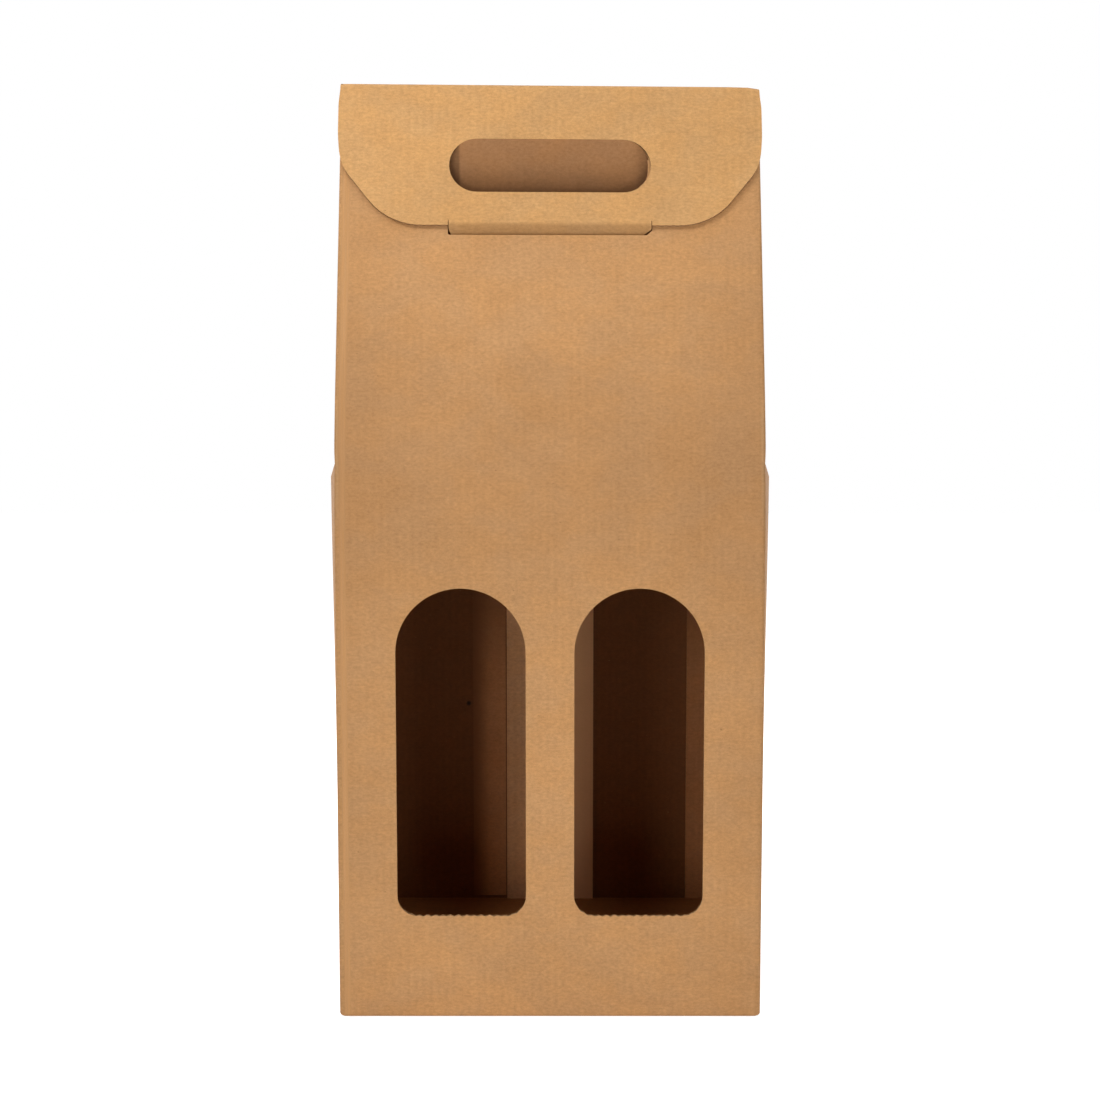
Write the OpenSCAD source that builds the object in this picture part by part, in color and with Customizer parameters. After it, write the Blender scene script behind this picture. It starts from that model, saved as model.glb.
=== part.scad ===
// Two-bottle carrying carton of corrugated board: a straight body with two
// arched windows, a gable top whose side walls fold in like a milk carton,
// and a lid that folds over the ridge, holds a push-in hand flap and tucks
// into a slot. A folded divider and a low base tray stand inside.
// Millimetres, +Z up, front facing -Y, origin at the middle of the base.

/* [Board] */
// Thickness of the corrugated board
board = 1.5; // [1.2:0.1:2]
// Gap between a moving flap and the board that it lies on or passes
run_gap = 0.3; // [0.2:0.05:0.5]
// Gap around the loose pieces that stand in the body
seat_gap = 0.25; // [0.2:0.05:0.5]

/* [Body] */
// Width of the front
body_w = 180; // [170:1:210]
// Depth from front to back
body_d = 90; // [80:1:105]
// Height of the shoulder, where the front and back start to lean in
shoulder_h = 230; // [220:1:250]
// Height over the folded ridge
total_h = 398.2; // [378:0.2:428]
// Outward bow of each side wall at the shoulder
side_bow = 5.5; // [4:0.5:12]

/* [Windows] */
// Width of each window
window_w = 54.6; // [44:0.2:60]
// Height of each window, arch included
window_h = 140; // [110:1:160]
// Height of the window's lower edge above the base
window_sill = 44.4; // [34:0.2:52]
// Width of the strip between the two windows
window_strip = 20.4; // [16:0.2:26]
// Radius of the window's lower corners
window_corner = 8.5; // [4:0.5:14]

/* [Lid] */
// Length of the lid from the ridge down the front slope
lid_drop = 62; // [58:0.2:66]
// Distance from the ridge to where the lid's side edge starts to round
lid_side = 27.6; // [22:1:30]
// Radius where the lid's side edge rounds into the slanting edge
lid_side_r = 20; // [15:0.5:22]
// Turn of that rounding, in degrees
lid_side_turn = 38; // [32:1:44]
// Radius where the slanting edge rounds into the lower edge
lid_end_r = 28.5; // [22:1:32]
// Length of the tuck tab past the lid's lower edge
tab_len = 9; // [7:0.5:10]
// Width of the tuck tab at its fold
tab_w = 86; // [70:1:90]
// Width that the tab loses towards its tip, at each end
tab_taper = 3; // [1:0.5:5]
// Inward bend of the tab from the lid, in degrees
tab_bend = 70; // [66:1:78]
// Gap between the tab's tip and the slot's lower edge as the lid turns
tab_clear = 1; // [0.5:0.1:1.5]
// Gap between each end of the tab and the slot's end
slot_side_gap = 1.2; // [0.6:0.1:2]

/* [Hand hole] */
// Width of the hand hole
hand_w = 86; // [76:1:90]
// Height of the hand hole, measured down the slope
hand_h = 24; // [20:0.5:26]
// Distance from the ridge down the slope to the hole in the lid
hand_drop = 23.2; // [21:0.1:26]
// Inward tilt of the hand flap as it rests, in degrees
flap_tilt = 25; // [15:1:35]
// Gap around the hand flap in its hole
flap_gap = 0.4; // [0.3:0.05:0.8]

/* [Inside pieces] */
// Height of the divider above the base tray
divider_h = 180; // [150:1:190]
// Width of each foot of the divider along the back wall
divider_foot = 19; // [14:1:24]
// Height of the base tray's top above the floor of the carton
tray_h = 21.3; // [16:0.1:26]
// Gap in the hooked seam of the glued base flaps
seam_gap = 0.6; // [0.4:0.1:1]
// Depth of the hook in that seam
seam_hook = 9; // [6:0.5:12]

/* [Hidden] */
$fn = 64;

half_w = body_w / 2;
half_d = body_d / 2;
ridge_half = 2 * board;
ridge_h = total_h - board - run_gap;
lean_rise = ridge_h - shoulder_h;
lean_run = half_d - ridge_half;
lean = atan(lean_run / lean_rise);
lean_len = norm([lean_run, lean_rise]);
gusset_in = half_d;
floor_h = 2 * board;

window_x = (window_w + window_strip) / 2;
hole_lap = 0.8;
arc_steps = 12;
bow_steps = 12;
bow_rows = 5;
bow_power = 0.7;
through = 20;

// The lid's hinge line, along the outer back edge of the ridge, is this far up
// the front slope and this far behind it, measured from the slope's own edge.
hinge_v = 2 * ridge_half * sin(lean) + (total_h - ridge_h) * cos(lean);
hinge_w = 2 * ridge_half * cos(lean) - (total_h - ridge_h) * sin(lean);

tab_tip_v = lid_drop + tab_len * cos(tab_bend);
tab_tip_w = run_gap + board - tab_len * sin(tab_bend);
tab_reach = norm([tab_tip_v + hinge_v, tab_tip_w + hinge_w]) + tab_clear;
slot_low = sqrt(pow(tab_reach, 2) - pow(hinge_w - board, 2)) - hinge_v;
slot_high = lid_drop - board / sin(tab_bend) - hole_lap;
flap_len = hand_h - 2 * flap_gap;

// Position in the y-z plane of a point given in slope coordinates.
function slope_point(v, w) =
    [-ridge_half - v * sin(lean) - w * cos(lean), ridge_h - v * cos(lean) + w * sin(lean)];

// Points of an arc around a centre.
function arc(centre, r, from, to) =
    [for (i = [0 : arc_steps]) centre + r * [cos(from + (to - from) * i / arc_steps),
                                             sin(from + (to - from) * i / arc_steps)]];

// Outward bow of a side wall at a depth position s and a height z.
function bow(s, z) = side_bow * (1 - pow(2 * s / body_d, 2)) * pow(z / shoulder_h, bow_power);

// Puts a drawing on the front slope: x across, y up the slope, z outwards,
// with the origin on the ridge.
module on_front_slope() {
    translate([0, -ridge_half, ridge_h]) rotate([90 - lean, 0, 0]) children();
}

module on_back_slope() {
    mirror([0, 1, 0]) on_front_slope() children();
}

// A slot shape with round ends, w across and h up, centred on x and hanging
// from the origin.
module stadium(w, h) {
    translate([0, -h / 2]) {
        square([w - h, h], center = true);
        for (side = [-1, 1]) translate([side * (w - h) / 2, 0]) circle(d = h);
    }
}

// One window: straight sides, round arch, rounded lower corners.
module window_shape() {
    spring = window_h - window_w / 2;
    translate([0, spring]) circle(d = window_w);
    translate([-window_w / 2, window_corner]) square([window_w, spring - window_corner]);
    translate([-window_w / 2 + window_corner, 0])
        square([window_w - 2 * window_corner, spring]);
    for (side = [-1, 1])
        translate([side * (window_w / 2 - window_corner), window_corner])
            circle(r = window_corner);
}

// Outline of the front wall below the shoulder, windows cut out.
module front_outline() {
    difference() {
        translate([-half_w, 0]) square([body_w, shoulder_h]);
        for (side = [-1, 1]) translate([side * window_x, window_sill]) window_shape();
    }
}

// A slope panel with its hand hole, a little larger than the one in the lid.
module slope_outline() {
    difference() {
        translate([-half_w, -lean_len]) square([body_w, lean_len]);
        translate([0, -hand_drop + hole_lap])
            stadium(hand_w + 2 * hole_lap, hand_h + 2 * hole_lap);
    }
}

// The slot that takes the lid's tab.
module tab_slot() {
    slot_w = tab_w + 2 * slot_side_gap;
    translate([-slot_w / 2, -slot_low]) square([slot_w, slot_low - slot_high]);
}

// The outer triangle of a side gusset, folded flat behind a slope panel.
module gusset_flank(side) {
    translate([0, 0, -2 * board]) linear_extrude(board)
        polygon([[side * half_w, -lean_len], [side * half_w, 0],
                 [side * (half_w - gusset_in), 0]]);
}

// A side wall with the middle triangle of its gusset, as one bowed sheet.
module side_sheet() {
    reach = half_d - board / 2;
    row_len = bow_steps + 1;
    rows = bow_rows + 1;
    outer = [
        for (r = [0 : bow_rows], i = [0 : bow_steps])
            let (z = shoulder_h * r / bow_rows, s = reach * (2 * i / bow_steps - 1))
                [half_w + bow(s, z), s, z],
        [half_w - gusset_in, 0, ridge_h]
    ];
    shell = len(outer);
    apex = shell - 1;
    last_row = bow_rows * row_len;
    points = concat(outer, [for (p = outer) p - [board, 0, 0]]);
    skin = concat(
        [for (r = [0 : bow_rows - 1], i = [0 : bow_steps - 1])
            let (a = r * row_len + i) [a, a + row_len, a + row_len + 1]],
        [for (r = [0 : bow_rows - 1], i = [0 : bow_steps - 1])
            let (a = r * row_len + i) [a, a + row_len + 1, a + 1]],
        [for (i = [0 : bow_steps - 1]) [last_row + i, apex, last_row + i + 1]]
    );
    rim = concat(
        [for (i = [0 : bow_steps]) i],
        [for (r = [1 : bow_rows]) r * row_len + bow_steps],
        [apex],
        [for (r = [bow_rows : -1 : 1]) r * row_len]
    );
    edge = [for (i = [0 : len(rim) - 1])
        let (a = rim[i], b = rim[(i + 1) % len(rim)]) [a, b, b + shell]];
    edge_back = [for (i = [0 : len(rim) - 1])
        let (a = rim[i], b = rim[(i + 1) % len(rim)]) [a, b + shell, a + shell]];
    inner = [for (f = skin) [f[2] + shell, f[1] + shell, f[0] + shell]];
    polyhedron(points = points, faces = concat(skin, inner, edge, edge_back));
}

// The glued base: two long flaps hooked along a seam, with side flaps on top.
module base_flaps() {
    difference() {
        translate([-half_w, -half_d, 0]) cube([body_w, body_d, board]);
        run = half_w - 2 * board;
        translate([0, 0, -board]) linear_extrude(3 * board) {
            for (side = [-1, 1]) translate([side * run / 2, side * seam_hook / 2])
                square([run + seam_gap, seam_gap], center = true);
            square([seam_gap, seam_hook + seam_gap], center = true);
        }
    }
    flap_cut = half_d / 3;
    translate([0, 0, board]) linear_extrude(board)
        for (side = [-1, 1])
            polygon([[side * (half_w - board / 2), -half_d + board / 2],
                     [side * flap_cut, -half_d + board / 2], [0, -flap_cut / 2],
                     [0, flap_cut / 2], [side * flap_cut, half_d - board / 2],
                     [side * (half_w - board / 2), half_d - board / 2]]);
}

module carton() {
    color("burlywood") {
        translate([0, -half_d + board, 0]) rotate([90, 0, 0])
            linear_extrude(board) front_outline();
        translate([-half_w, half_d - board, 0]) cube([body_w, board, shoulder_h]);
        base_flaps();
        side_sheet();
        mirror([1, 0, 0]) side_sheet();
        on_front_slope() difference() {
            translate([0, 0, -board]) linear_extrude(board) slope_outline();
            translate([0, 0, -2 * board]) linear_extrude(3 * board) tab_slot();
        }
        on_back_slope() translate([0, 0, -board]) linear_extrude(board) slope_outline();
        for (side = [-1, 1]) {
            on_front_slope() gusset_flank(side);
            on_back_slope() gusset_flank(side);
        }
    }
}

// Outline of the lid on the front slope, from above the ridge to its lower edge.
module lid_outline() {
    end_turn = 90 - lid_side_turn;
    side_end = [half_w - lid_side_r * (1 - cos(lid_side_turn)),
                -lid_side - lid_side_r * sin(lid_side_turn)];
    end_start_y = -lid_drop + lid_end_r * (1 - cos(end_turn));
    end_start_x = side_end[0] - (side_end[1] - end_start_y) * tan(lid_side_turn);
    end_centre = [end_start_x - lid_end_r * sin(end_turn), -lid_drop + lid_end_r];
    right = concat(
        [[half_w, through]],
        arc([half_w - lid_side_r, -lid_side], lid_side_r, 0, -lid_side_turn),
        arc(end_centre, lid_end_r, -lid_side_turn, -90)
    );
    left = [for (i = [len(right) - 1 : -1 : 0]) [-right[i][0], right[i][1]]];
    polygon(concat(right, left));
}

// Side view of the lid: the strip over the ridge and the sheet down the slope.
module lid_profile() {
    outside = run_gap + board;
    outer_v = (outside * sin(lean) - outside) / cos(lean);
    inner_v = (run_gap * sin(lean) - run_gap) / cos(lean);
    polygon([[ridge_half, ridge_h + run_gap], [ridge_half, total_h],
             slope_point(outer_v, outside), slope_point(lid_drop, outside),
             slope_point(lid_drop, run_gap), slope_point(inner_v, run_gap)]);
}

// Side view of the tuck tab, bent inwards from the lid's lower edge.
module tab_profile() {
    along = [cos(tab_bend), -sin(tab_bend)];
    inner = [-sin(tab_bend), -cos(tab_bend)];
    start = [lid_drop, run_gap + board];
    tip = start + tab_len * along;
    back = tip + board * inner;
    root = start + board * inner;
    polygon([for (p = [start, tip, back, root]) slope_point(p[0], p[1])]);
}

module lid() {
    color("burlywood") {
        difference() {
            intersection() {
                rotate([90, 0, 90]) linear_extrude(body_w, center = true) lid_profile();
                on_front_slope() translate([0, 0, -through])
                    linear_extrude(2 * through) lid_outline();
            }
            on_front_slope() translate([0, -hand_drop, -board])
                linear_extrude(4 * board) stadium(hand_w, hand_h);
        }
        intersection() {
            rotate([90, 0, 90]) linear_extrude(tab_w, center = true) tab_profile();
            on_front_slope() rotate([90, 0, 0]) translate([0, 0, lid_drop - through])
                linear_extrude(2 * through)
                    polygon([[-tab_w / 2, run_gap + board], [tab_w / 2, run_gap + board],
                             [tab_w / 2 - tab_taper, tab_tip_w - board],
                             [-tab_w / 2 + tab_taper, tab_tip_w - board]]);
        }
    }
}

// The hand flap: it hangs from the inner top edge of the lid's hole and tilts
// inwards through the hole in the front slope.
module hand_flap() {
    color("peru")
        on_front_slope() translate([0, -hand_drop - flap_gap, run_gap])
            rotate([flap_tilt, 0, 0]) linear_extrude(board)
                stadium(hand_w - 2 * flap_gap, flap_len);
}

// The divider: one sheet folded double into a web across the body, with a
// foot to each side along the back wall.
module divider() {
    back_y = half_d - board - seat_gap;
    front_y = -half_d + board + seat_gap;
    color("tan") translate([0, 0, floor_h + tray_h]) {
        translate([-board, front_y, 0]) cube([2 * board, back_y - front_y, divider_h]);
        translate([-board - divider_foot, back_y - board, 0])
            cube([2 * (board + divider_foot), board, divider_h]);
    }
}

// The base tray: a shallow tray turned upside down, so that its top is a
// raised floor.
module base_tray() {
    tray_w = body_w - 2 * (board + seat_gap);
    tray_d = body_d - 2 * (board + seat_gap);
    color("tan") translate([0, 0, floor_h]) difference() {
        translate([-tray_w / 2, -tray_d / 2, 0]) cube([tray_w, tray_d, tray_h]);
        translate([-tray_w / 2 + board, -tray_d / 2 + board, -board])
            cube([tray_w - 2 * board, tray_d - 2 * board, tray_h]);
    }
}

carton();
lid();
hand_flap();
divider();
base_tray();
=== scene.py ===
"""Looks of the wine box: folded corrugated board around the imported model."""
from math import atan, cos, degrees, hypot, pi, radians, sin, tan

import bpy
import numpy as np
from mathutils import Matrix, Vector
from mathutils.geometry import delaunay_2d_cdt


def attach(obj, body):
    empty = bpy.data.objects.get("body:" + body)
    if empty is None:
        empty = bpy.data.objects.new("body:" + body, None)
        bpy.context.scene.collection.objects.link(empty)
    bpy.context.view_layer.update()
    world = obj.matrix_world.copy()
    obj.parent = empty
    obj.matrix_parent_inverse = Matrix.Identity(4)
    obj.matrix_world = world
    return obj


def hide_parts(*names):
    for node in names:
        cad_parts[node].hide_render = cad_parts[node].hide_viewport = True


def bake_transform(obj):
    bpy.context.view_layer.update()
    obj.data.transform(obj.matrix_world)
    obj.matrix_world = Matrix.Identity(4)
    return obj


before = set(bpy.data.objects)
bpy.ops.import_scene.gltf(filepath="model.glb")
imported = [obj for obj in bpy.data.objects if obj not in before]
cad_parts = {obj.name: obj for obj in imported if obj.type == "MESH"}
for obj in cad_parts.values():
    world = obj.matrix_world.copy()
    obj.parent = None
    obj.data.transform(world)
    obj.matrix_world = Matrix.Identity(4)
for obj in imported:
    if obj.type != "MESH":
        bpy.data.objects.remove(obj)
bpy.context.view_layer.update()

MM = 0.001

# Sizes of the board and the body, in millimetres
BOARD = 1.5
SKIN = 1.4
RUN_GAP = 0.3
HALF_W = 90.0
HALF_D = 45.0
SHOULDER = 230.0
TOTAL = 398.2
BOW = 5.5
BOW_POWER = 0.7
RIDGE_HALF = 2 * BOARD
RIDGE_H = TOTAL - BOARD - RUN_GAP
LEAN = atan((HALF_D - RIDGE_HALF) / (RIDGE_H - SHOULDER))
LEAN_LEN = hypot(HALF_D - RIDGE_HALF, RIDGE_H - SHOULDER)
FLUTE = 3.3
LINER_GAP = 0.02

# The ridge settles towards its right end, and the right corner is worn
RIDGE_DROP = 1.5
RIDGE_NICK = 0.8

# Path of a wall: rounded foot, upright wall, long soft bend, straight slope
FOOT_R = 1.5
BEND_T = 42.0
BEND_R = BEND_T / tan(LEAN / 2)
V_FOOT = FOOT_R * pi / 2
V_BEND = V_FOOT + SHOULDER - BEND_T - FOOT_R
V_SLOPE = V_BEND + BEND_R * LEAN
V_TOP = V_SLOPE + LEAN_LEN - BEND_T
CORNER_R = 2.2
FOLD_R = 1.5
FOLD_BLEND = 0.08
SEAM_X = 85.0

# Windows
WINDOW_X = 37.5
WINDOW_W = 54.6
WINDOW_H = 140.0
WINDOW_SILL = 44.4
WINDOW_R = 8.5
WINDOW_WAVE = 0.22

# Lid, hand hole and tab
LID_DROP = 62.0
LID_SIDE = 27.6
LID_SIDE_R = 20.0
LID_SIDE_TURN = radians(38)
LID_END_R = 28.5
LID_FOLD_R = 2.3
LID_FLARE = 0.0075
HAND_W = 86.0
HAND_H = 24.0
HAND_DROP = 23.2
FLAP_SPREAD = 0.2
FLAP_EXTRA = 0.6
FLAP_TORN = 1.1
FLAP_TILT = radians(25)
HOLE_LAP = 0.8
FRONT_LAP = 0.3
BACK_HOLE_IN = (1.5, 1.8)
FRONT_HOLE_IN = (0, 1.3)
FRONT_HOLE_ROUGH = 0.13
TAB_W = 86.0
TAB_LEN = 9.0
TAB_TAPER = 3.0
TAB_BEND = radians(70)
TAB_R = 7.0
TAB_START = LID_DROP - 2.1
TAB_CORNER = 63.9
TAB_CUT = 2.4
TAB_NOTCH = 0.3
SLOT_HIGH = 59.6
SLOT_LOW = 65.8
SLOT_W = 86.7
SLOT_R = 0.8
SLOT_CUT = 2.2

# Strips on the back wall's inside, and the hooked seam of the base
GLUE_FLAP_X = 64.8
GLUE_FLAP_T = 1.3
GLUE_FLAP_LOW = 4.0
GLUED_STRIP_X = (-36.5, -21.0)
GLUED_STRIP_T = 0.3
GLUED_STRIP_LOW = 25.5
SEAM_HOOK = 9.0
SEAM_HALF_GAP = 0.3
SEAM_TURN_X = (-20, -14)


def smooth(t):
    """Smooth step from 0 to 1."""
    t = min(max(t, 0.0), 1.0)
    return t * t * (3 - 2 * t)


def settle(p):
    """The ridge of the folded box stands a little lower at its right end."""
    x, y, z = p
    drop = RIDGE_DROP * (x + HALF_W) / (2 * HALF_W) * smooth((z - 300) / 90)
    nick = RIDGE_NICK * smooth((x - 83) / 7) * smooth((z - 384) / 10)
    return x, y, z - max(drop, 0.0) - nick


def wall_path(v):
    """Distance out from the middle plane, height and tilt of the normal, at length v up a wall."""
    if v < V_FOOT:
        tilt = v / FOOT_R - pi / 2
        return HALF_D - FOOT_R + FOOT_R * cos(tilt), FOOT_R + FOOT_R * sin(tilt), tilt
    if v < V_BEND:
        return HALF_D, FOOT_R + v - V_FOOT, 0.0
    tilt = min((v - V_BEND) / BEND_R, LEAN)
    out = HALF_D - BEND_R + BEND_R * cos(tilt)
    up = SHOULDER - BEND_T + BEND_R * sin(tilt)
    rest = max(v - V_SLOPE, 0.0)
    return out - rest * sin(LEAN), up + rest * cos(LEAN), tilt


def wall_point(x, v, w, side):
    """A point at x, length v up the wall and w outwards. side is -1 for the front and 1 for the back."""
    out, up, tilt = wall_path(v)
    return x, side * (out + w * cos(tilt)), up + w * sin(tilt)


def v_at(z):
    """Length up an upright wall at a height."""
    return V_FOOT + z - FOOT_R


class Sheet:
    """A sheet of board: an outer skin, an inner skin and the cut edges between them."""

    def __init__(self):
        self.index = {}
        self.outer = []
        self.inner = []
        self.uv = []
        self.faces = []

    def point(self, outer, inner, uv):
        key = tuple(round(c * 500) for c in outer)
        if key not in self.index:
            self.index[key] = len(self.outer)
            self.outer.append(outer)
            self.inner.append(inner)
            self.uv.append(uv)
        return self.index[key]

    def face(self, ids):
        ids = [i for n, i in enumerate(ids) if i != ids[n - 1]]
        if len(set(ids)) > 2:
            self.faces.append(ids)

    def pattern(self, outline, holes, rows, columns, mapping, flip=False):
        """Adds a flat pattern with holes, folded by mapping(x, v) to an outer and an inner point."""
        points = []
        edges = []
        for loop in [outline] + holes:
            start = len(points)
            points += [Vector(p) for p in loop]
            edges += [(start + i, start + (i + 1) % len(loop)) for i in range(len(loop))]
        for v in rows:
            for x in columns:
                if inside((x, v), outline, 0.7) and not any(inside((x, v), h, -0.7) for h in holes):
                    points.append(Vector((x, v)))
        verts, _, tris, *_ = delaunay_2d_cdt(points, edges, [], 0, 1e-5)
        ids = []
        for p in verts:
            outer, inner = mapping(p.x, p.y)
            ids.append(self.point(outer, inner, (p.x, p.y)))
        for tri in tris:
            middle = sum((verts[i] for i in tri), Vector((0, 0))) / 3
            if inside(middle, outline, 0) and not any(inside(middle, h, 0) for h in holes):
                self.face([ids[i] for i in (tri[::-1] if flip else tri)])

    def grid(self, outer, inner, uv):
        """Adds a grid of points, row by row."""
        ids = [[self.point(o, i, t) for o, i, t in zip(*row)] for row in zip(outer, inner, uv)]
        for low, high in zip(ids, ids[1:]):
            for k in range(len(low) - 1):
                self.face([low[k], low[k + 1], high[k + 1], high[k]])

    def build(self, name, materials):
        """Makes the mesh object, with the cut edges along every open edge of the skin."""
        count = len(self.outer)
        verts = [settle(p) for p in self.outer + self.inner]
        faces = [tuple(f) for f in self.faces]
        uvs = [[self.uv[i] for i in f] for f in self.faces]
        slots = [0] * len(faces)
        for f in self.faces:
            back = f[::-1]
            faces.append(tuple(i + count for i in back))
            uvs.append([self.uv[i] for i in back])
            slots.append(1)
        used = {}
        for f in self.faces:
            for a, b in zip(f, f[1:] + f[:1]):
                used[(a, b)] = used.get((a, b), 0) + 1
        following = {a: b for a, b in used if (b, a) not in used}
        along = {}
        for start in list(following):
            if start in along:
                continue
            along[start] = 0.0
            here = start
            while following.get(here) is not None and following[here] not in along:
                there = following[here]
                along[there] = along[here] + (Vector(self.outer[there]) - Vector(self.outer[here])).length
                here = there
        for a, b in following.items():
            step = (Vector(self.outer[b]) - Vector(self.outer[a])).length
            run = (along[a], along[a] + step)
            faces.append((b, a, a + count, b + count))
            uvs.append([(run[1], 1), (run[0], 1), (run[0], 0), (run[1], 0)])
            slots.append(2)
        mesh = bpy.data.meshes.new(name)
        mesh.from_pydata([Vector(p) * MM for p in verts], [], faces)
        layer = mesh.uv_layers.new(name="board")
        flat = [c for f in uvs for p in f for c in p]
        layer.data.foreach_set("uv", flat)
        mesh.polygons.foreach_set("material_index", slots)
        mesh.polygons.foreach_set("use_smooth", [s != 2 for s in slots])
        mesh.update()
        mesh.set_sharp_from_angle(angle=radians(50))
        for material in materials:
            mesh.materials.append(material)
        obj = bpy.data.objects.new(name, mesh)
        bpy.context.scene.collection.objects.link(obj)
        return obj


def inside(p, loop, margin):
    """Whether a point is inside a loop, and at least margin from it (or near it, if negative)."""
    x, y = p[0], p[1]
    hit = False
    near = 1e9
    for (x0, y0), (x1, y1) in zip(loop, loop[1:] + loop[:1]):
        if (y0 > y) != (y1 > y) and x < (x1 - x0) * (y - y0) / (y1 - y0) + x0:
            hit = not hit
        if margin:
            dx, dy = x1 - x0, y1 - y0
            t = min(max(((x - x0) * dx + (y - y0) * dy) / (dx * dx + dy * dy), 0), 1)
            near = min(near, hypot(x - x0 - t * dx, y - y0 - t * dy))
    if margin > 0:
        return hit and near > margin
    if margin < 0:
        return hit or near < -margin
    return hit


def arc_points(cx, cy, r, a0, a1, n):
    """Points of an arc, from angle a0 to a1 in degrees."""
    return [(cx + r * cos(radians(a0 + (a1 - a0) * i / n)), cy + r * sin(radians(a0 + (a1 - a0) * i / n)))
            for i in range(n + 1)]


def span(a, b, step):
    """Values from a to b in steps of about that size, both ends included."""
    n = max(1, round(abs(b - a) / step))
    return [a + (b - a) * i / n for i in range(n + 1)]


def waved(loop, size, pitch, phase, top):
    """A loop whose level edges below top are cut a little wavy, where the flutes end."""
    dense = []
    for (x0, y0), (x1, y1) in zip(loop, loop[1:] + loop[:1]):
        n = max(1, round(hypot(x1 - x0, y1 - y0) / (pitch / 6)))
        dense += [(x0 + (x1 - x0) * i / n, y0 + (y1 - y0) * i / n) for i in range(n)]
    out = []
    for k, (x, y) in enumerate(dense):
        xa, ya = dense[k - 1]
        xb, yb = dense[(k + 1) % len(dense)]
        length = hypot(xb - xa, yb - ya)
        level = ((xb - xa) / length) ** 2 if y < top else 0.0
        shift = size * level * (sin(2 * pi * x / pitch + phase) + 0.4 * sin(4.7 * x / pitch + 2 * phase))
        out.append((x, y + shift))
    return out


# Materials
def linear(*rgb):
    """A colour written as 0 to 255 values, as the shader takes it."""
    return [((c / 255 + 0.055) / 1.055) ** 2.4 if c > 10 else c / 255 / 12.92 for c in rgb] + [1.0]


class Nodes:
    """Short calls for building a material's nodes."""

    def __init__(self, name):
        self.material = bpy.data.materials.new(name)
        self.material.use_nodes = True
        self.tree = self.material.node_tree
        self.tree.nodes.clear()
        self.shader = self.add("ShaderNodeBsdfPrincipled")
        self.output = self.add("ShaderNodeOutputMaterial")
        self.link(self.shader.outputs[0], self.output.inputs[0])

    def add(self, kind, **values):
        node = self.tree.nodes.new(kind)
        for key, value in values.items():
            setattr(node, key, value)
        return node

    def link(self, a, b):
        self.tree.links.new(a, b)

    def put(self, socket, value):
        if hasattr(value, "is_output"):
            self.link(value, socket)
        else:
            socket.default_value = value

    def math(self, operation, *values):
        node = self.add("ShaderNodeMath", operation=operation)
        for socket, value in zip(node.inputs, values):
            self.put(socket, value)
        return node.outputs[0]

    def noise(self, vector, scale, detail=3.0, roughness=0.55):
        stretch = self.add("ShaderNodeVectorMath", operation="MULTIPLY")
        self.put(stretch.inputs[0], vector)
        stretch.inputs[1].default_value = scale
        node = self.add("ShaderNodeTexNoise")
        self.link(stretch.outputs[0], node.inputs["Vector"])
        node.inputs["Scale"].default_value = 1.0
        node.inputs["Detail"].default_value = detail
        node.inputs["Roughness"].default_value = roughness
        return node.outputs["Fac"]

    def ramp(self, value, low, high, out_low=0.0, out_high=1.0):
        node = self.add("ShaderNodeMapRange", interpolation_type="SMOOTHSTEP")
        self.put(node.inputs["Value"], value)
        node.inputs["From Min"].default_value = low
        node.inputs["From Max"].default_value = high
        node.inputs["To Min"].default_value = out_low
        node.inputs["To Max"].default_value = out_high
        return node.outputs["Result"]

    def mix(self, factor, a, b, kind="MIX"):
        node = self.add("ShaderNodeMix", data_type="RGBA", blend_type=kind)
        self.put(node.inputs[0], factor)
        self.put(node.inputs[6], a)
        self.put(node.inputs[7], b)
        return node.outputs[2]

    def distance_1d(self, value, place):
        return self.math("ABSOLUTE", self.math("SUBTRACT", value, place))

    def bump(self, height, strength, distance):
        node = self.add("ShaderNodeBump")
        node.inputs["Strength"].default_value = strength
        node.inputs["Distance"].default_value = distance
        self.put(node.inputs["Height"], height)
        self.link(node.outputs[0], self.shader.inputs["Normal"])


def board_coordinates(n, source):
    """Coordinates in millimetres: the flat pattern's, or the solid's own."""
    if source == "pattern":
        return n.add("ShaderNodeUVMap", uv_map="board").outputs[0]
    node = n.add("ShaderNodeVectorMath", operation="SCALE")
    n.link(n.add("ShaderNodeTexCoord").outputs["Object"], node.inputs[0])
    node.inputs["Scale"].default_value = 1000.0
    if source == "level":
        return node.outputs[0]
    split = n.add("ShaderNodeSeparateXYZ")
    n.link(node.outputs[0], split.inputs[0])
    join = n.add("ShaderNodeCombineXYZ")
    n.put(join.inputs[0], n.math("ADD", split.outputs[0], split.outputs[1]))
    n.link(split.outputs[2], join.inputs[1])
    return join.outputs[0]


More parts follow.
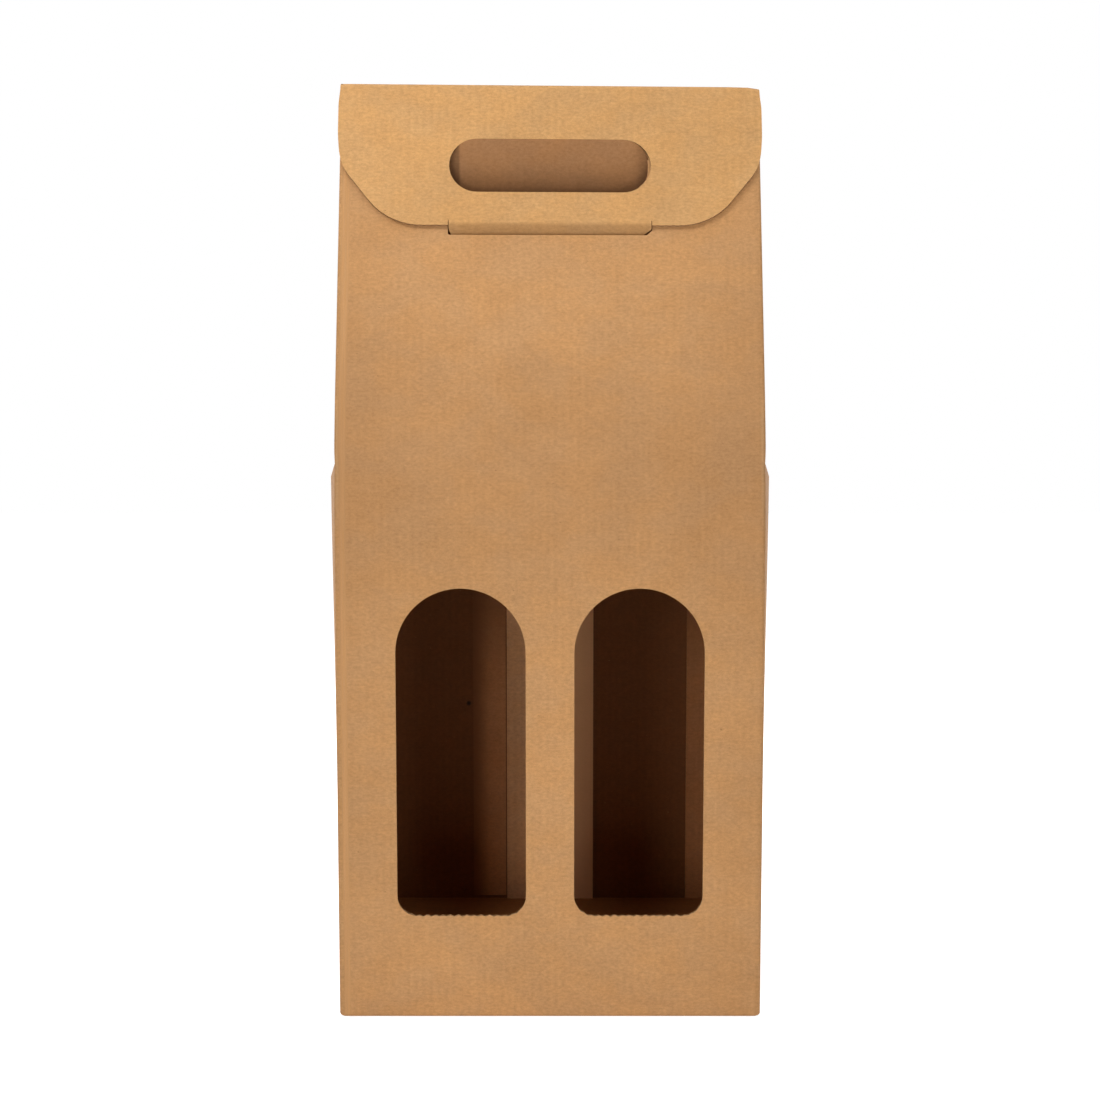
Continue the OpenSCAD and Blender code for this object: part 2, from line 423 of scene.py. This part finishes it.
def kraft(name, base, source="pattern", flute_show=1.0, marks=()):
    """Brown kraft liner: fibres along the board, mottling, flecks and faint flute lines.

    marks are (kind, u, v, strength, colour). "fold" is a line along the folds at u, near height v.
    "beyond" and "edge" grow sideways from u to v, "edge" on both sides. "down" and "tab" grow along the
    board from u to v. "band" is a soft band at height u that reaches v. "spot" is a small spot at (u, v)."""
    n = Nodes(name)
    at = board_coordinates(n, source)
    cloud = n.noise(at, (0.012, 0.016, 0.013), 3.0)
    patch = n.noise(at, (0.055, 0.07, 0.06), 3.0)
    mottle = n.noise(at, (0.26, 0.34, 0.3), 3.0)
    streak = n.noise(at, (0.24, 1.2, 0.7), 3.0, 0.6)
    fibre = n.noise(at, (0.62, 0.95, 0.8), 4.0, 0.6)
    fine = n.noise(at, (3.2, 5.5, 4.0), 2.0)
    dark_fleck = n.ramp(n.noise(at, (0.55, 0.8, 0.7), 1.0), 0.755, 0.80)
    pale_fleck = n.ramp(n.noise(at, (0.7, 1.5, 1.1), 1.0), 0.75, 0.82)
    split = n.add("ShaderNodeSeparateXYZ")
    n.put(split.inputs[0], at)
    wobble = n.math("MULTIPLY", n.noise(at, (0.03, 0.02, 0.03), 2.0), 1.2)
    flute = n.math("SINE", n.math("ADD", n.math("MULTIPLY", split.outputs[0], 2 * pi / FLUTE), wobble))
    tone = n.ramp(cloud, 0.3, 0.7, 0.42, 0.58)
    for layer, reach in ((patch, 0.06), (mottle, 0.08), (streak, 0.06), (fibre, 0.19), (fine, 0.20)):
        tone = n.math("ADD", tone, n.ramp(layer, 0.25, 0.75, -reach, reach))
    tone = n.math("ADD", tone, n.math("MULTIPLY", flute, 0.022 * flute_show))
    light = linear(*[min(c * 1.12, 255) for c in base])
    dark = linear(*[c * f for c, f in zip(base, (0.88, 0.86, 0.82))])
    colour = n.mix(tone, dark, light)
    warmth = n.ramp(n.noise(at, (0.045, 0.06, 0.05), 4.0), 0.35, 0.65)
    tint = n.mix(warmth, [0.985, 1.0, 1.03, 1.0], [1.02, 0.995, 0.94, 1.0])
    colour = n.mix(1.0, colour, tint, "MULTIPLY")
    colour = n.mix(n.math("MULTIPLY", dark_fleck, 0.38), colour, linear(120, 82, 48))
    colour = n.mix(n.math("MULTIPLY", pale_fleck, 0.25), colour, linear(226, 188, 138))
    across, along = split.outputs[0], split.outputs[1]
    for kind, u, v, strength, rgb in marks:
        if kind == "fold":
            line = n.ramp(n.distance_1d(n.math("ABSOLUTE", across), u), 0.3, 1.1, 1.0, 0.0)
            part = n.math("MULTIPLY", line, n.ramp(n.distance_1d(along, v), 12.0, 36.0, 1.0, 0.0))
        elif kind == "beyond":
            part = n.ramp(across, u, v)
        elif kind == "edge":
            part = n.ramp(n.math("ABSOLUTE", across), u, v)
        elif kind == "down":
            part = n.ramp(along, u, v)
        elif kind == "tab":
            inner = n.ramp(n.math("ABSOLUTE", across), TAB_W / 2, TAB_W / 2 + 0.4, 1.0, 0.0)
            part = n.math("MULTIPLY", inner, n.ramp(along, u, v))
        elif kind == "band":
            part = n.ramp(n.distance_1d(along, u), 0.0, v, 1.0, 0.0)
        else:
            side = n.math("POWER", n.math("SUBTRACT", across, u), 2.0)
            rise = n.math("POWER", n.math("SUBTRACT", along, v), 2.0)
            part = n.ramp(n.math("SQRT", n.math("ADD", side, rise)), 0.5, 1.6, 1.0, 0.0)
        colour = n.mix(n.math("MULTIPLY", part, strength), colour, linear(*rgb))
    n.link(colour, n.shader.inputs["Base Color"])
    n.shader.inputs["Roughness"].default_value = 0.78
    n.shader.inputs["Specular IOR Level"].default_value = 0.28
    height = n.math("ADD", n.math("MULTIPLY", fibre, 0.06), n.math("MULTIPLY", fine, 0.03))
    height = n.math("ADD", height, n.math("MULTIPLY", flute, 0.006 * flute_show))
    n.bump(height, 0.5, 0.001)
    return n.material


def cut_edge(name):
    """Cut edge of the board: two liners with the fluted sheet between them; the hollows between them are
    painted dark, as painted shade.
    """
    n = Nodes(name)
    at = n.add("ShaderNodeUVMap", uv_map="board").outputs[0]
    split = n.add("ShaderNodeSeparateXYZ")
    n.put(split.inputs[0], at)
    wave = n.math("SINE", n.math("MULTIPLY", split.outputs[0], 2 * pi / FLUTE))
    centre = n.math("MULTIPLY_ADD", wave, 0.30, 0.5)
    medium = n.ramp(n.math("ABSOLUTE", n.math("SUBTRACT", split.outputs[1], centre)), 0.10, 0.2, 1.0, 0.0)
    liner = n.ramp(n.math("ABSOLUTE", n.math("SUBTRACT", split.outputs[1], 0.5)), 0.33, 0.38)
    paper = n.math("MAXIMUM", medium, liner)
    ragged = n.noise(at, (2.5, 6.0, 1.0), 3.0)
    paper = n.math("MULTIPLY", paper, n.ramp(ragged, 0.2, 0.6, 0.75, 1.0))
    # The dark colour is painted shade in the hollows between the flutes.
    colour = n.mix(paper, linear(112, 78, 48), linear(206, 164, 118))
    n.link(colour, n.shader.inputs["Base Color"])
    n.shader.inputs["Roughness"].default_value = 0.9
    n.shader.inputs["Specular IOR Level"].default_value = 0.15
    n.bump(paper, 0.6, 0.0003)
    return n.material


SHADE = (112, 74, 44)
# Painted shade: the band mark darkens the walls around the shoulder bend, and the edge mark darkens them
# towards the sides.
LINER = kraft("kraft_outside", (197, 149, 100), marks=[
    ("fold", 88.6, v_at(240.0), 0.22, (228, 190, 142)), ("band", v_at(230.0), 95.0, 0.19, SHADE),
    ("edge", 40.0, 96.0, 0.13, SHADE)])
# Painted shade: the tab mark darkens the strip along the tab's fold and the lid's lower edge.
LID_LINER = kraft("kraft_lid", (203, 156, 102), marks=[
    ("tab", TAB_START + 0.4, TAB_START + 2.6, 0.36, SHADE)])
# Painted shade: the hand flap's base is the lid's kraft darkened, the down mark darkens its lower part, and
# the two beyond marks paint the shadows at its left and right ends.
FLAP_SHADED_LINER = kraft("kraft_flap_painted_shade", (158, 113, 73), marks=[
    ("down", HAND_DROP + 7, HAND_DROP + HAND_H, 0.55, (92, 58, 30)),
    ("beyond", -38.0, -39.4, 0.55, (74, 46, 20)), ("beyond", 34.0, 42.0, 0.5, (84, 54, 26))])
# Painted shade: the base colour of the inner skins is the kraft darkened to stand for the shade inside the
# box.
INSIDE = kraft("kraft_inside", (126, 77, 39), flute_show=1.6, marks=[
    ("spot", -38.6, v_at(119.0), 0.85, (20, 10, 6))])
# Painted light: the strips' lighter colour stands for light falling through the windows onto the back wall;
# the beyond mark paints the soft left edge of that light, and the down mark paints shade towards the top.
STRIP = kraft("kraft_strip_painted_light", (182, 124, 78), marks=[
    ("beyond", -27.0, -36.5, 0.85, (126, 77, 39)), ("down", v_at(120.0), v_at(175.0), 0.6, (126, 77, 39))])
# Painted light: the pale beyond mark lightens the divider where x plus y passes 44 mm, by the back wall, to
# stand for light coming in through the window.
INSIDE_SOLID = kraft("kraft_inside_solid", (202, 152, 108), "upright", 1.6, [
    ("beyond", HALF_D - 1.0, HALF_D, 0.75, (236, 184, 134))])
TRAY_SOLID = kraft("kraft_tray", (146, 96, 50), "level", 1.0)
EDGE = cut_edge("board_edge")
BOARD_MATERIALS = (LINER, INSIDE, EDGE)


# Carton: front, back and the folded side walls in one sheet
def window_loop(centre):
    """Outline of an arched window in the flat pattern."""
    left, right = centre - WINDOW_W / 2, centre + WINDOW_W / 2
    low, top_r = v_at(WINDOW_SILL), WINDOW_W / 2
    spring = v_at(WINDOW_SILL + WINDOW_H - top_r)
    loop = arc_points(left + WINDOW_R, low + WINDOW_R, WINDOW_R, 180, 270, 8)
    loop += arc_points(right - WINDOW_R, low + WINDOW_R, WINDOW_R, 270, 360, 8)
    loop += arc_points(centre, spring, top_r, 0, 180, 40)
    return waved(loop, WINDOW_WAVE, FLUTE, centre, low + WINDOW_R)


def stadium(half_w, high, low):
    """Outline of a slot with round ends, in the flat pattern, between two distances up the wall."""
    r = (high - low) / 2
    mid = (high + low) / 2
    loop = arc_points(half_w - r, mid, r, -90, 90, 20)
    return loop + arc_points(-half_w + r, mid, r, 90, 270, 20)


FINE_LOW = v_at(SHOULDER - 10)
FINE_HIGH = FINE_LOW + 34
ROWS = span(0, V_FOOT, 0.4) + span(V_FOOT, FINE_LOW, 8)[1:] + span(FINE_LOW, FINE_HIGH, 2)[1:]
ROWS += span(FINE_HIGH, V_TOP, 5)[1:]


def side_bow(out, depth, z):
    """How far a side wall stands out at a depth position and a height."""
    height = pow(max(z, 0) / SHOULDER, BOW_POWER) if z < SHOULDER else (RIDGE_H - z) / (RIDGE_H - SHOULDER)
    return BOW * height * (1 - (out / depth) ** 2)


ARC_COLUMNS = 6
TRIANGLE_COLUMNS = 5
FAN_COLUMNS = 12


def side_section(v):
    """Outer line of the right side wall's front half at one height: (x, distance from the middle)."""
    out, z, _ = wall_path(v)
    inset = HALF_D - out if v < V_FOOT else 0.0
    t = max((z - SHOULDER) / (RIDGE_H - SHOULDER), 0.0)
    edge = HALF_W - inset
    upright = [(SEAM_X, out)]
    folded = [(SEAM_X, out)]
    for k in range(ARC_COLUMNS + 1):
        a = k / ARC_COLUMNS
        upright.append((edge - CORNER_R + CORNER_R * sin(a * pi / 2),
                        out - CORNER_R + CORNER_R * cos(a * pi / 2)))
        folded.append((edge - FOLD_R + FOLD_R * sin(a * pi), out - FOLD_R + FOLD_R * cos(a * pi)))
    inner = max(out - 2 * FOLD_R, 0.04)
    turn = edge - HALF_D * t
    start = out - CORNER_R
    for k in range(1, TRIANGLE_COLUMNS + 1):
        a = k / TRIANGLE_COLUMNS
        y = start - 2.0 * a
        upright.append((turn + side_bow(y, start + 0.01, z), y))
        folded.append((edge - FOLD_R + (turn + 0.6 - edge + FOLD_R) * a, inner))
    last = start - 2.0
    for k in range(1, FAN_COLUMNS + 1):
        a = k / FAN_COLUMNS
        y = last * (1 - a)
        upright.append((turn + side_bow(y, start + 0.01, z), y))
        y = inner * (1 - a)
        y_low = max(inner - 0.6, 0.0) * (1 - a)
        folded.append((turn + side_bow(y, inner + 0.01, z), y_low))
    share = smooth(t / FOLD_BLEND)
    section = [(a[0] + (b[0] - a[0]) * share, a[1] + (b[1] - a[1]) * share) for a, b in zip(upright, folded)]
    return section, z


def side_patch(sheet, side):
    """Adds one side wall with its folded gusset. side is 1 for the right and -1 for the left."""
    outer = []
    for v in ROWS:
        section, z = side_section(v)
        half = [(side * x, -y, z) for x, y in section]
        outer.append(half + [(x, -y, z) for x, y, z in half[-2::-1]])
    grid = np.array(outer)
    du = np.gradient(grid, axis=1)
    dv = np.gradient(grid, axis=0)
    normal = np.cross(du, dv) * side
    normal /= np.linalg.norm(normal, axis=2)[:, :, None] + 1e-9
    inner = grid - SKIN * normal
    for row, v in enumerate(ROWS):
        for column, wall in ((0, -1), (-1, 1)):
            inner[row, column] = wall_point(side * SEAM_X, v, -SKIN, wall)
    steps = np.linalg.norm(np.diff(grid, axis=1), axis=2)
    girth = np.concatenate([np.zeros((len(ROWS), 1)), steps.cumsum(1)], 1)
    uv = [[(SEAM_X + g, v) for g in girth[row]] for row, v in enumerate(ROWS)]
    rows = [[[tuple(p) for p in line] for line in block] for block in (grid, inner)]
    if side < 0:
        rows = [[line[::-1] for line in block] for block in rows]
        uv = [line[::-1] for line in uv]
    sheet.grid(rows[0], rows[1], uv)


def carton_wall(side):
    """The mapping of the front (-1) or back (1) pattern to its place."""
    return lambda x, v: (wall_point(x, v, 0, side), wall_point(x, v, -SKIN, side))


carton_sheet = Sheet()
outline = [(-SEAM_X, v) for v in ROWS[::-1]] + [(SEAM_X, v) for v in ROWS]


def slope_hole(lap, left, right, rough):
    """Outline of a slope's hand hole, with its ends moved in by left and right and the right one ragged."""
    loop = []
    for x, v in stadium(HAND_W / 2 + lap, V_TOP - HAND_DROP + lap, V_TOP - HAND_DROP - HAND_H - lap):
        end = smooth((abs(x) - 31) / 9)
        x += (left if x < 0 else -right - rough * (sin(v * 2.9) + sin(v * 7.3 + 1))) * end
        loop.append((x, v))
    return loop


def slot_loop():
    """Outline of the tab's slot, with its lower right corner cut off."""
    low, high, half = V_TOP - SLOT_LOW, V_TOP - SLOT_HIGH, SLOT_W / 2
    loop = arc_points(-half + SLOT_R, low + SLOT_R, SLOT_R, 180, 270, 4)
    loop += [(half - SLOT_CUT, low), (half, low + SLOT_CUT)]
    return loop + [(half, high), (-half, high)]


columns = span(-SEAM_X, SEAM_X, 9)
front_holes = [window_loop(-WINDOW_X), window_loop(WINDOW_X)]
front_holes += [slope_hole(FRONT_LAP, *FRONT_HOLE_IN, FRONT_HOLE_ROUGH), slot_loop()]
back_holes = [slope_hole(HOLE_LAP, *BACK_HOLE_IN, 0)]
carton_sheet.pattern(outline, front_holes, ROWS[1:-1], columns[1:-1], carton_wall(-1))
carton_sheet.pattern(outline, back_holes, ROWS[1:-1], columns[1:-1], carton_wall(1), flip=True)
side_patch(carton_sheet, 1)
side_patch(carton_sheet, -1)
carton = carton_sheet.build("carton_sheet", BOARD_MATERIALS)
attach(carton, "carton")
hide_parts("carton")

# Strips on the inside of the back: the glue flap at the right, and a glued strip beside the divider; their
# lighter colour is painted light from the windows
def back_strip(name, x0, x1, z0, z1, thickness):
    """A flat strip of board on the inner face of the back wall."""
    sheet = Sheet()
    grid = [[(x, v) for x in span(x0, x1, 6)] for v in span(v_at(z0), v_at(z1), 8)]
    far = -SKIN - LINER_GAP
    near = far - thickness
    sheet.grid([[wall_point(x, v, near, 1) for x, v in row] for row in grid],
               [[wall_point(x, v, far, 1) for x, v in row] for row in grid], grid)
    strip = sheet.build(name, (STRIP, STRIP, EDGE))
    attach(strip, "carton")


back_strip("glue_flap", GLUE_FLAP_X, HALF_W - BOARD - 0.6, GLUE_FLAP_LOW, SHOULDER - BEND_T, GLUE_FLAP_T)
back_strip("glued_strip", *GLUED_STRIP_X, GLUED_STRIP_LOW, SHOULDER - BEND_T, GLUED_STRIP_T)


# Base: two glued flaps that meet in a hooked seam
def base_flap(name, side):
    """One outer flap of the base. side is -1 for the front one."""
    edge_x, edge_y = HALF_W - FOOT_R - 0.1, HALF_D - FOOT_R - 0.1
    hook, gap = SEAM_HOOK, SEAM_HALF_GAP
    turn_in, turn_out = SEAM_TURN_X
    seam = [(-edge_x, -hook + gap), (turn_in, -hook + gap), (turn_out, hook + gap), (edge_x, hook + gap)]
    seam = [(x, y - 2 * gap) if side < 0 else (x, y) for x, y in seam]
    far = [(edge_x, side * edge_y), (-edge_x, side * edge_y)]
    loop = seam + far if side > 0 else (far[::-1] + seam[::-1])
    sheet = Sheet()
    sheet.pattern(loop, [], span(-40, 40, 12), span(-80, 80, 12),
                  lambda x, y: ((x, y, 0.0), (x, y, SKIN)), flip=True)
    flap = sheet.build(name, BOARD_MATERIALS)
    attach(flap, "carton")


base_flap("base_flap_front", -1)
base_flap("base_flap_back", 1)


# Lid: folds over the ridge, lies on the front slope and tucks in
LID_W = RUN_GAP + BOARD
LID_CORNER = -LID_W * (1 - sin(LEAN)) / cos(LEAN)
LID_TURN = pi / 2 - LEAN
LID_T = LID_FOLD_R * tan(LID_TURN / 2)
LID_ARC = LID_FOLD_R * LID_TURN
LID_START = LID_CORNER + LID_T
LID_BACK = LID_START - LID_ARC - (RIDGE_HALF + 4.4 - LID_T) + 1.6


def slope_yz(q, w):
    """Depth and height of a point q down the front slope from the ridge and w outwards."""
    return -RIDGE_HALF - q * sin(LEAN) - w * cos(LEAN), RIDGE_H - q * cos(LEAN) + w * sin(LEAN)


def lid_path(q, tab):
    """Point and normal direction of the lid's outer skin at length q; tab bends it into the slot."""
    if q < LID_START:
        turned = min((LID_START - q) / LID_FOLD_R, LID_TURN)
        cy, cz = slope_yz(LID_START, LID_W - LID_FOLD_R)
        tilt = LEAN + turned
        rest = max(LID_START - q - LID_ARC, 0.0)
        return cy - LID_FOLD_R * cos(tilt) + rest, cz + LID_FOLD_R * sin(tilt), tilt
    y, z = slope_yz(q, LID_W)
    if not tab or q < TAB_START:
        return y, z, LEAN
    bent = min((q - TAB_START) / TAB_R, TAB_BEND)
    cy, cz = slope_yz(TAB_START, LID_W - TAB_R)
    tilt = LEAN - bent
    rest = max(q - TAB_START - TAB_R * TAB_BEND, 0.0)
    return (cy - TAB_R * cos(tilt) + rest * sin(-tilt), cz + TAB_R * sin(tilt) - rest * cos(tilt), tilt)


def lid_point(x, q, w, tab=False):
    """A point of the lid, w in from its outer skin."""
    y, z, tilt = lid_path(q, tab)
    return x, y + w * cos(tilt), z - w * sin(tilt)


def lid_edge():
    """Right half of the lid's outline, from the ridge round to the middle of its lower edge."""
    turn = degrees(LID_SIDE_TURN)
    points = [(HALF_W, q) for q in span(LID_BACK, LID_SIDE, 2.0)]
    points += arc_points(HALF_W - LID_SIDE_R, LID_SIDE, LID_SIDE_R, 0, turn, 8)[1:]
    x1, q1 = points[-1]
    end_q = LID_DROP - LID_END_R
    q2 = end_q + LID_END_R * sin(LID_SIDE_TURN)
    x2 = x1 - (q2 - q1) * tan(LID_SIDE_TURN)
    points += arc_points(x2 - LID_END_R * cos(LID_SIDE_TURN), end_q, LID_END_R, turn, 90, 12)
    notch = TAB_W / 2 + TAB_NOTCH
    return points + [(notch, LID_DROP), (notch, TAB_START)]


def lid_flare(x, q):
    """The lid's sides stand a touch wider just below the ridge."""
    return x * (1 + LID_FLARE * smooth(q / 9) * (1 - smooth((q - 20) / 12)))


lid_sheet = Sheet()
right_edge = [(lid_flare(x, q), q) for x, q in lid_edge()]
fold_line = [(x, TAB_START) for x in span(TAB_W / 2, -TAB_W / 2, 3.3)]
lid_outline = right_edge + fold_line + [(-x, q) for x, q in right_edge[::-1]]
lid_hole = stadium(HAND_W / 2, HAND_DROP + HAND_H, HAND_DROP)
lid_rows = span(LID_BACK, LID_START - LID_ARC, 1.5) + span(LID_START - LID_ARC, LID_START, 0.45)
lid_rows += span(LID_START, LID_DROP, 6)[1:]
lid_sheet.pattern(lid_outline, [lid_hole], lid_rows, span(-85, 85, 8),
                  lambda x, q: (lid_point(x, q, 0), lid_point(x, q, SKIN)), flip=True)
tab_rows = span(TAB_START, TAB_START + TAB_R * TAB_BEND, 0.5)
tab_rows += span(tab_rows[-1], LID_DROP + TAB_LEN, 1.2)[1:]


def tab_x(x, q):
    """The tab narrows towards its tip, and its right corner is cut off."""
    narrow = TAB_TAPER * max(q - LID_DROP - 1.5, 0) / TAB_LEN
    if x > 0:
        narrow += min(max(q - TAB_CORNER, 0), TAB_CUT)
    return x * (1 - narrow * 2 / TAB_W)


tab_columns = [x for x, _ in fold_line[::-1]]
tab_grid = [[(tab_x(x, q), q) for x in tab_columns] for q in tab_rows[::-1]]
lid_sheet.grid([[lid_point(x, q, 0, True) for x, q in row] for row in tab_grid],
               [[lid_point(x, q, SKIN, True) for x, q in row] for row in tab_grid], tab_grid)
lid = lid_sheet.build("lid_sheet", (LID_LINER, INSIDE, EDGE))
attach(lid, "lid")
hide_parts("lid")

# Hand flap: hangs from the top of the hand hole, pushed in
FLAP_BENDS = ((6.0, 0.72 * FLAP_TILT), (12.0, 0.30 * FLAP_TILT), (9.0, 0.36 * FLAP_TILT))
flap_sheet = Sheet()
flap_loop = []
for x, q in stadium(HAND_W / 2 + FLAP_SPREAD, HAND_DROP + HAND_H + FLAP_EXTRA, HAND_DROP + 0.05):
    down = q - HAND_DROP
    torn = FLAP_TORN * (0.5 + 0.7 * smooth((down - 9) / 4) - 1.2 * smooth((down - 14) / 3))
    torn += 0.1 * sin(q * 5.1)
    flap_loop.append((x - torn * smooth((x - 33) / 8), q))


def flap_point(x, q, w):
    """A point of the hand flap, which bends softly at its fold line and a little more below it."""
    down = q - HAND_DROP
    y, z = slope_yz(HAND_DROP, LID_W)
    tilt = LEAN
    for length, turn in FLAP_BENDS:
        part = min(max(down, 0.0), length)
        radius = length / turn
        bent = part / radius
        y += radius * (cos(tilt) - cos(tilt - bent))
        z -= radius * (sin(tilt) - sin(tilt - bent))
        tilt -= bent
        down -= length
    return x, y + w * cos(tilt), z - w * sin(tilt)


flap_rows = span(HAND_DROP + 0.8, HAND_DROP + 10, 0.9) + span(HAND_DROP + 13, HAND_DROP + 22, 4)
flap_sheet.pattern(flap_loop, [], flap_rows, span(-40, 40, 6),
                   lambda x, q: (flap_point(x, q, 0), flap_point(x, q, SKIN)), flip=True)
flap = flap_sheet.build("hand_flap_sheet", (FLAP_SHADED_LINER, INSIDE, EDGE))
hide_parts("hand_flap")
flap_start = Vector(flap_point(0, HAND_DROP + 0.2, SKIN)) * MM
flap_end = Vector(flap_point(0, HAND_DROP + 5.0, SKIN)) * MM
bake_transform(flap)

# Fold between the back slope and the lid
crease_sheet = Sheet()
CREASE_R = 1.7


def crease_point(x, s, w):
    """A point of the fold over the ridge's back edge, s along it from the top."""
    top = TOTAL - 0.02
    cy, cz = RIDGE_HALF - 0.1 - CREASE_R, top - CREASE_R
    turn = pi / 2 - LEAN
    bent = min(max(s / CREASE_R, 0.0), turn)
    before = max(-s, 0.0)
    after = max(s - CREASE_R * turn, 0.0)
    r = CREASE_R - w
    y = cy + r * sin(bent) - before + after * cos(bent)
    return x, y, cz + r * cos(bent) - after * sin(bent)


crease_rows = span(-1.4, 0, 0.7) + span(0, CREASE_R * (pi / 2 - LEAN), 0.3)[1:]
crease_rows += span(crease_rows[-1], crease_rows[-1] + 1.6, 0.8)[1:]
crease_columns = span(-HALF_W, HALF_W, 10)
crease_grid = [[(x, s) for x in crease_columns] for s in crease_rows[::-1]]
crease_sheet.grid([[crease_point(-x, s, 0) for x, s in row] for row in crease_grid],
                  [[crease_point(-x, s, 0.9) for x, s in row] for row in crease_grid], crease_grid)
crease = crease_sheet.build("ridge_fold", (LID_LINER, INSIDE, EDGE))
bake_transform(crease)

# Inside pieces keep their solids
for node, material in (("divider", INSIDE_SOLID), ("base_tray", TRAY_SOLID)):
    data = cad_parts[node].data
    data.materials.clear()
    data.materials.append(material)


# Floor, backdrop and light
def stage_material():
    """A white floor that shows as white to the camera and keeps the object's soft shadow."""
    n = Nodes("floor_white")
    n.tree.nodes.remove(n.shader)
    lit = n.add("ShaderNodeBsdfDiffuse")
    lit.inputs["Color"].default_value = (0.86, 0.86, 0.86, 1)
    glow = n.add("ShaderNodeEmission")
    path = n.add("ShaderNodeLightPath")
    seen = n.math("MAXIMUM", path.outputs["Is Camera Ray"], path.outputs["Is Glossy Ray"])
    seen = n.math("MAXIMUM", seen, path.outputs["Is Transmission Ray"])
    far = n.add("ShaderNodeVectorMath", operation="LENGTH")
    n.link(n.add("ShaderNodeTexCoord").outputs["Object"], far.inputs[0])
    level = n.ramp(far.outputs["Value"], 0.12, 0.42, 0.80, 1.0)
    n.link(n.math("MULTIPLY", seen, level), glow.inputs["Strength"])
    both = n.add("ShaderNodeAddShader")
    n.link(lit.outputs[0], both.inputs[0])
    n.link(glow.outputs[0], both.inputs[1])
    n.link(both.outputs[0], n.output.inputs[0])
    return n.material


floor_mesh = bpy.data.meshes.new("floor")
FLOOR_HALF = 3.0
FLOOR_GAP = 0.0002
corners = [(-1, -1), (1, -1), (1, 1), (-1, 1)]
floor_mesh.from_pydata([(FLOOR_HALF * x, FLOOR_HALF * y, 0) for x, y in corners], [], [(0, 1, 2, 3)])
floor = bpy.data.objects.new("floor", floor_mesh)
floor.location.z = -FLOOR_GAP
bpy.context.scene.collection.objects.link(floor)
floor_mesh.materials.append(stage_material())

world = bpy.data.worlds.new("studio")
bpy.context.scene.world = world
world.use_nodes = True
tree = world.node_tree
tree.nodes.clear()
path = tree.nodes.new("ShaderNodeLightPath")
seen = tree.nodes.new("ShaderNodeMath")
seen.operation = "MAXIMUM"
tree.links.new(path.outputs["Is Camera Ray"], seen.inputs[0])
tree.links.new(path.outputs["Is Transmission Ray"], seen.inputs[1])
strength = tree.nodes.new("ShaderNodeMapRange")
strength.inputs["To Min"].default_value = 0.05
strength.inputs["To Max"].default_value = 1.0
tree.links.new(seen.outputs[0], strength.inputs["Value"])
background = tree.nodes.new("ShaderNodeBackground")
background.inputs["Color"].default_value = (1, 1, 1, 1)
tree.links.new(strength.outputs["Result"], background.inputs["Strength"])
world_out = tree.nodes.new("ShaderNodeOutputWorld")
tree.links.new(background.outputs[0], world_out.inputs[0])


def soft_lamp(name, place, aim, size, power):
    """A square area lamp at a place, in metres, facing a point."""
    light = bpy.data.lights.new(name, "AREA")
    light.shape = "RECTANGLE"
    light.size, light.size_y = size
    light.energy = power
    lamp = bpy.data.objects.new(name, light)
    lamp.location = place
    lamp.rotation_euler = (Vector(aim) - Vector(place)).to_track_quat("-Z", "Y").to_euler()
    bpy.context.scene.collection.objects.link(lamp)


soft_lamp("key_left", (-0.46, -0.56, 1.05), (0, -0.045, 0.2), (0.45, 0.45), 2.9)
soft_lamp("key_right", (0.44, -0.58, 1.03), (0, -0.045, 0.2), (0.45, 0.45), 1.8)
soft_lamp("high_left", (-0.36, -0.36, 0.72), (-0.05, 0, 0.36), (0.2, 0.2), 0.9)
soft_lamp("low_left", (-0.50, -0.91, 0.15), (0, -0.045, 0.12), (0.34, 0.4), 2.4)
soft_lamp("low_right", (0.62, -0.83, 0.15), (0, -0.045, 0.12), (0.34, 0.4), 2.5)
soft_lamp("top_box", (0.0, 0.1, 1.4), (0, 0, 0.2), (1.0, 1.0), 6.0)
soft_lamp("back_left", (-0.8, 0.8, 0.4), (0, 0, 0.2), (0.6, 0.8), 6.0)
soft_lamp("back_right", (0.8, 0.8, 0.4), (0, 0, 0.2), (0.6, 0.8), 6.0)

# Camera
CAMERA_BACK = 659.0
CAMERA_H = 262.4
CAMERA_PITCH = radians(5.36)
FOCAL_PX = 1592.0
FRAME_PX = 1100.0
SENSOR = 36.0
camera_data = bpy.data.cameras.new("camera")
camera_data.sensor_width = SENSOR
camera_data.lens = FOCAL_PX / FRAME_PX * SENSOR
camera_data.clip_start = 0.01
camera = bpy.data.objects.new("camera", camera_data)
camera.location = (0, -(HALF_D + CAMERA_BACK) * MM, CAMERA_H * MM)
camera.rotation_euler = (pi / 2 - CAMERA_PITCH, 0, 0)
bpy.context.scene.collection.objects.link(camera)
bpy.context.scene.camera = camera
bpy.context.scene.view_settings.view_transform = "Standard"
